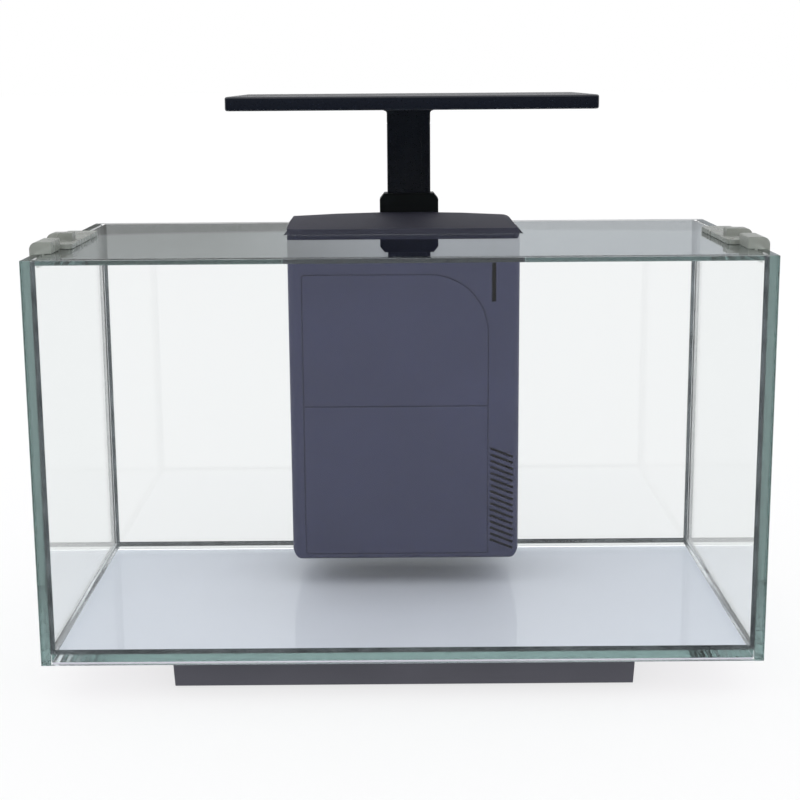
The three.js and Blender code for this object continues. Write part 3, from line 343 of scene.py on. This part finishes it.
def clear_silicone():
    """Slightly cloudy rubber, smooth where a finger wiped it."""
    rubber = bpy.data.materials.new("clear_silicone")
    tree, output = shader_tree(rubber)
    body = node(tree, "BsdfPrincipled", IOR=SILICONE_IOR)
    body.inputs["Base Color"].default_value = (0.93, 0.95, 0.97, 1.0)
    body.inputs["Transmission Weight"].default_value = 1.0
    ripples = node(tree, "TexNoise", Scale=45.0, Detail=2.0)
    tree.links.new(node(tree, "TexCoord").outputs["Object"], ripples.inputs["Vector"])
    gloss = node(tree, "MapRange")
    gloss.inputs["To Min"].default_value = 0.06
    gloss.inputs["To Max"].default_value = 0.22
    tree.links.new(ripples.outputs["Fac"], gloss.inputs["Value"])
    tree.links.new(gloss.outputs["Result"], body.inputs["Roughness"])
    lit_through(tree, output, body, (0.93, 0.95, 0.96))
    return rubber


silicone = clear_silicone()
for end in ("front", "back"):
    for side in ("left", "right"):
        dress(f"corner_seal_{end}_{side}", silicone, 0)
dress("floor_seal", silicone, 0)

white_film = moulded("white_film", (0.75, 0.695, 0.78), 0.5, grain=2.5 * MM, depth=0.01 * MM, wander=0.01)
FILM_GAP = 0.1 * MM
low, high = (Vector(corner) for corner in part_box("floor_film"))
film = bmesh.new()
size = high - low - Vector((0, 0, FILM_GAP))
middle = (low + high - Vector((0, 0, FILM_GAP))) / 2
bmesh.ops.create_cube(film, size=1.0, matrix=Matrix.Translation(middle) @ Matrix.Diagonal((*size, 1.0)))
upright = [edge for edge in film.edges if abs(edge.verts[0].co.z - edge.verts[1].co.z) > FILM_GAP]
bmesh.ops.bevel(film, geom=upright, offset=2 * MM, offset_type="OFFSET", segments=4, profile=0.5,
                affect="EDGES", material=-1)
film_sheet = new_piece("film_sheet", film, white_film, "tank")
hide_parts("floor_film")

# ---------------------------------------------------------------- lid clips
# One cloudy smoke-green moulding on each side pane: a leg inside and outside the rim, a shelf under
# the lid's edge, a wing over it, and a block and a thumb tab to lift it by.
CLIP_TINT = (0.42, 0.44, 0.40)


def clip_moulding():
    """Cloudy clear plastic: light comes through, tinted and spread."""
    plastic = bpy.data.materials.new("clip_plastic")
    tree, output = shader_tree(plastic)
    body = node(tree, "BsdfPrincipled", IOR=1.49)
    body.inputs["Transmission Weight"].default_value = 0.45
    clouds = node(tree, "TexNoise", Scale=30.0, Detail=3.0)
    tree.links.new(node(tree, "TexCoord").outputs["Object"], clouds.inputs["Vector"])
    darker = tuple(c * 0.93 for c in CLIP_TINT)
    lighter = tuple(c * 1.06 for c in CLIP_TINT)
    shade = blend_colour(tree, smooth_step(tree, clouds.outputs["Fac"], 0.3, 0.7), darker, lighter)
    tree.links.new(shade, body.inputs["Base Color"])
    gloss = node(tree, "MapRange")
    gloss.inputs["To Min"].default_value = 0.22
    gloss.inputs["To Max"].default_value = 0.34
    tree.links.new(clouds.outputs["Fac"], gloss.inputs["Value"])
    tree.links.new(gloss.outputs["Result"], body.inputs["Roughness"])
    tree.links.new(body.outputs[0], output.inputs["Surface"])
    return plastic


clip_plastic = clip_moulding()
for side in ("left", "right"):
    dress(f"clip_{side}", clip_plastic, 0.6 * MM, 3)

# ---------------------------------------------------------------- filter box, panels and cap
# Blue-grey satin mouldings: an open box with inlet slots at the right, two front panels let into it
# with a shadow groove round them, and a crowned cap that is darker and duller.
filter_plastic = moulded("filter_plastic", (0.038, 0.040, 0.093), 0.5, depth=0.012 * MM, shine=0.35)
cap_plastic = moulded("cap_plastic", (0.050, 0.049, 0.068), 0.6, shine=0.08)
dress("filter_box", filter_plastic, 0.35 * MM)
for name in ("front_panel_upper", "front_panel_lower"):
    dress(name, filter_plastic, 0.35 * MM)
dress("filter_cap", cap_plastic, 0.8 * MM, 3)

# ---------------------------------------------------------------- hanger and lamp socket
# A black moulding hooks over the back pane on a rubber pad. Two steel screws go through the box's
# back, of which only the right one meets the moulding. A rubber gland stands in it for the pump's
# lead, and the lamp's socket is on top of it.
bracket_plastic = moulded("bracket_plastic", (0.004, 0.006, 0.007), 0.45, shine=0.25)
for name in ("hanger", "lamp_socket"):
    dress(name, bracket_plastic, 0.5 * MM)
for name in ("hanger_pad", "cable_gland"):
    dress(name, black_rubber, 0.2 * MM)


def machined_steel():
    """Bright steel with fine, uneven tool marks."""
    steel = bpy.data.materials.new("machined_steel")
    tree, output = shader_tree(steel)
    body = node(tree, "BsdfPrincipled", Metallic=1.0)
    rings = node(tree, "TexNoise", Scale=900.0, Detail=2.0)
    tree.links.new(node(tree, "TexCoord").outputs["Object"], rings.inputs["Vector"])
    shade = blend_colour(tree, rings.outputs["Fac"], (0.50, 0.50, 0.51), (0.62, 0.62, 0.62))
    tree.links.new(shade, body.inputs["Base Color"])
    gloss = node(tree, "MapRange")
    gloss.inputs["To Min"].default_value = 0.22
    gloss.inputs["To Max"].default_value = 0.38
    tree.links.new(rings.outputs["Fac"], gloss.inputs["Value"])
    tree.links.new(gloss.outputs["Result"], body.inputs["Roughness"])
    tree.links.new(body.outputs[0], output.inputs["Surface"])
    return steel


steel = machined_steel()

SCREW_HEAD = 3.2 * MM
HEAD_THICK = 2 * MM
HEAD_ROUND = 1.0 * MM
SHANK_RADIUS = 1.5 * MM
for side in ("left", "right"):
    low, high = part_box(f"hanger_screw_{side}")
    middle = (Vector(low) + Vector(high)) / 2
    head = bmesh.new()
    placed = Matrix.Translation((middle.x, low[1], middle.z)) @ Matrix.Rotation(-math.pi / 2, 4, "X")
    bmesh.ops.create_circle(head, cap_ends=True, segments=40, radius=SCREW_HEAD)
    dome = bmesh.ops.extrude_face_region(head, geom=list(head.faces))
    crown = [item for item in dome["geom"] if isinstance(item, bmesh.types.BMVert)]
    bmesh.ops.translate(head, verts=crown, vec=(0, 0, HEAD_THICK))
    rim_edges = [edge for edge in head.edges if all(v.co.z < 0.1 * MM for v in edge.verts)]
    bmesh.ops.bevel(head, geom=rim_edges, offset=HEAD_ROUND, offset_type="OFFSET", segments=5, profile=0.5,
                    affect="EDGES", material=-1)
    shank_length = high[1] - low[1] - HEAD_THICK
    shank = bmesh.ops.create_cone(head, cap_ends=True, segments=24, radius1=SHANK_RADIUS,
                                  radius2=SHANK_RADIUS, depth=shank_length)
    bmesh.ops.translate(head, verts=shank["verts"], vec=(0, 0, (high[1] - low[1] + HEAD_THICK) / 2))
    bmesh.ops.transform(head, matrix=placed, verts=head.verts)
    screw = new_piece(f"screw_{side}", head, steel, "tank")
    for polygon in screw.data.polygons:
        polygon.use_smooth = len(polygon.vertices) < 8
    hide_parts(f"hanger_screw_{side}")

# ---------------------------------------------------------------- chambers, basket and media
# Black partitions stand in the box, and a slotted basket between them holds ceramic rings, a
# black open-cell sponge and a pad of white polyester wool, from the bottom up.
inner_plastic = moulded("inner_plastic", (0.030, 0.031, 0.037), 0.45)
INNER = ("intake_partition", "pump_partition", "media_basket", "pump_body", "pump_cover",
         "outlet_pipe", "return_nozzle")
for name in INNER:
    dress(name, inner_plastic, 0.3 * MM)

ceramic = pitted("ceramic", (0.72, 0.68, 0.60), 0.6 * MM, 0.06 * MM, 0.75)
RING_RADIUS = 4.0 * MM
RING_HOLE = 2.0 * MM
RING_LENGTH = 7.0 * MM
RING_PITCH = 11.2 * MM
chance = random.Random(11)
low, high = (Vector(corner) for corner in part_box("bio_media"))
rings = bmesh.new()
counts = [int((high[i] - low[i]) / RING_PITCH) for i in range(3)]
pitch = [(high[i] - low[i]) / counts[i] for i in range(3)]
for row in range(counts[0]):
    for rank in range(counts[1]):
        for level in range(counts[2]):
            wall = bmesh.ops.create_circle(rings, cap_ends=False, segments=10, radius=RING_RADIUS)
            bore = bmesh.ops.create_circle(rings, cap_ends=False, segments=10, radius=RING_HOLE)
            loops = [edge for v in wall["verts"] + bore["verts"] for edge in v.link_edges]
            face = bmesh.ops.bridge_loops(rings, edges=list(dict.fromkeys(loops)))["faces"]
            grown = bmesh.ops.extrude_face_region(rings, geom=face, use_keep_orig=True)
            risen = [item for item in grown["geom"] if isinstance(item, bmesh.types.BMVert)]
            bmesh.ops.translate(rings, verts=risen, vec=(0, 0, RING_LENGTH))
            turn = Euler([chance.uniform(0, math.pi) for _ in range(3)]).to_matrix().to_4x4()
            cell = [low[i] + (index + 0.5) * pitch[i] for i, index in enumerate((row, rank, level))]
            set_down = Matrix.Translation(cell) @ turn @ Matrix.Translation((0, 0, -RING_LENGTH / 2))
            bmesh.ops.transform(rings, matrix=set_down, verts=wall["verts"] + bore["verts"] + risen)
ceramic_rings = new_piece("ceramic_rings", rings, ceramic, "tank")
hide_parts("bio_media")


def soft_block(name, node_name, material, cells, round_edge, lump, seed):
    """A block of foam or wool: rounded edges and a slightly lumpy, sunken surface."""
    low, high = (Vector(corner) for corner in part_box(node_name))
    size = high - low
    block = bmesh.new()
    bmesh.ops.create_cube(block, size=1.0)
    bmesh.ops.subdivide_edges(block, edges=list(block.edges), cuts=cells, use_grid_fill=True)
    bmesh.ops.transform(block, matrix=Matrix.Translation((low + high) / 2) @ Matrix.Diagonal((*size, 1.0)),
                        verts=block.verts)
    middle = (low + high) / 2
    half = size / 2
    for vert in block.verts:
        inner = Vector(max(-(h - round_edge), min(h - round_edge, c - m))
                       for c, m, h in zip(vert.co, middle, half))
        outward = vert.co - middle - inner
        if outward.length > 0:
            drop = lump * (0.5 + 0.5 * noise.noise(vert.co * 90.0 + Vector((seed, 0, 0))))
            vert.co = middle + inner + outward.normalized() * (round_edge - drop)
    piece = new_piece(name, block, material, "tank")
    piece.data.polygons.foreach_set("use_smooth", [True] * len(piece.data.polygons))
    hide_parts(node_name)


sponge_foam = pitted("sponge_foam", (0.018, 0.020, 0.023), 1.6 * MM, 0.8 * MM, 0.98)
wool = pitted("wool", (0.74, 0.75, 0.75), 1.1 * MM, 0.5 * MM, 0.98)
soft_block("sponge_block", "filter_sponge", sponge_foam, 24, 3 * MM, 0.8 * MM, 2.0)
soft_block("wool_pad", "filter_floss", wool, 24, 5 * MM, 1.8 * MM, 7.0)

# ---------------------------------------------------------------- pump
# The pump stands on four rubber cups. Its rotor is a black ferrite magnet with moulded vanes, on a
# matt ceramic shaft. The outlet pipe and the nozzle are pushed on.
ferrite = moulded("ferrite", (0.036, 0.033, 0.031), 0.4, grain=0.4 * MM)
dress("impeller", ferrite, 0.2 * MM)
dress("impeller_shaft", ceramic, 0.1 * MM)
for end in ("front", "back"):
    for side in ("left", "right"):
        dress(f"suction_foot_{end}_{side}", black_rubber, 0.2 * MM)

# ---------------------------------------------------------------- lamp
# A thin black slab on a black stem, held by a steel pin and two washers. Under it a frosted window
# covers a white board with rows of small yellow light chips.
lamp_plastic = moulded("lamp_plastic", (0.004, 0.006, 0.012), 0.30, depth=0.008 * MM, shine=0.4)
for name in ("lamp_stem", "lamp_bracket", "lamp_housing"):
    dress(name, lamp_plastic, 0.3 * MM)
for name in ("hinge_pin", "hinge_washer_left", "hinge_washer_right"):
    dress(name, steel, 0.15 * MM)


def frosted_window():
    """Clear plastic, frosted on the inside, that shows the chips as soft spots."""
    plastic = bpy.data.materials.new("frosted_window")
    tree, output = shader_tree(plastic)
    body = node(tree, "BsdfPrincipled", IOR=1.49)
    body.inputs["Base Color"].default_value = (0.90, 0.92, 0.93, 1.0)
    body.inputs["Transmission Weight"].default_value = 1.0
    frost = node(tree, "TexNoise", Scale=600.0, Detail=2.0)
    tree.links.new(node(tree, "TexCoord").outputs["Object"], frost.inputs["Vector"])
    gloss = node(tree, "MapRange")
    gloss.inputs["To Min"].default_value = 0.10
    gloss.inputs["To Max"].default_value = 0.18
    tree.links.new(frost.outputs["Fac"], gloss.inputs["Value"])
    tree.links.new(gloss.outputs["Result"], body.inputs["Roughness"])
    lit_through(tree, output, body, (0.90, 0.92, 0.93))
    return plastic


board_lacquer = moulded("board_lacquer", (0.80, 0.81, 0.79), 0.4,
                        grain=0.5 * MM, depth=0.005 * MM, wander=0.02)
dress("lamp_diffuser", frosted_window(), 0.15 * MM)
dress("led_board", board_lacquer, 0.1 * MM)

CHIP = 3.0 * MM
CHIP_THICK = 0.8 * MM
CHIP_ROWS = 4
CHIPS_IN_ROW = 14
CHIP_MARGIN = 12 * MM
chip_gel = moulded("chip_gel", (0.72, 0.62, 0.16), 0.3, grain=0.3 * MM, depth=0.004 * MM, wander=0.04)
low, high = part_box("led_board")
chips = bmesh.new()
for row in range(CHIP_ROWS):
    for place in range(CHIPS_IN_ROW):
        x = low[0] + CHIP_MARGIN + (high[0] - low[0] - 2 * CHIP_MARGIN) * place / (CHIPS_IN_ROW - 1)
        y = low[1] + CHIP_MARGIN + (high[1] - low[1] - 2 * CHIP_MARGIN) * row / (CHIP_ROWS - 1)
        centre = Matrix.Translation((x, y, low[2] - CHIP_THICK / 2 - 0.02 * MM))
        sized = Matrix.Diagonal((CHIP, CHIP, CHIP_THICK, 1))
        chip = bmesh.ops.create_cube(chips, size=1.0, matrix=centre @ sized)
        lower = [f for f in {f for v in chip["verts"] for f in v.link_faces} if f.normal.z < -0.5]
        bmesh.ops.inset_individual(chips, faces=lower, thickness=0.4 * MM, depth=-0.15 * MM)
new_piece("light_chips", chips, chip_gel, "lamp")
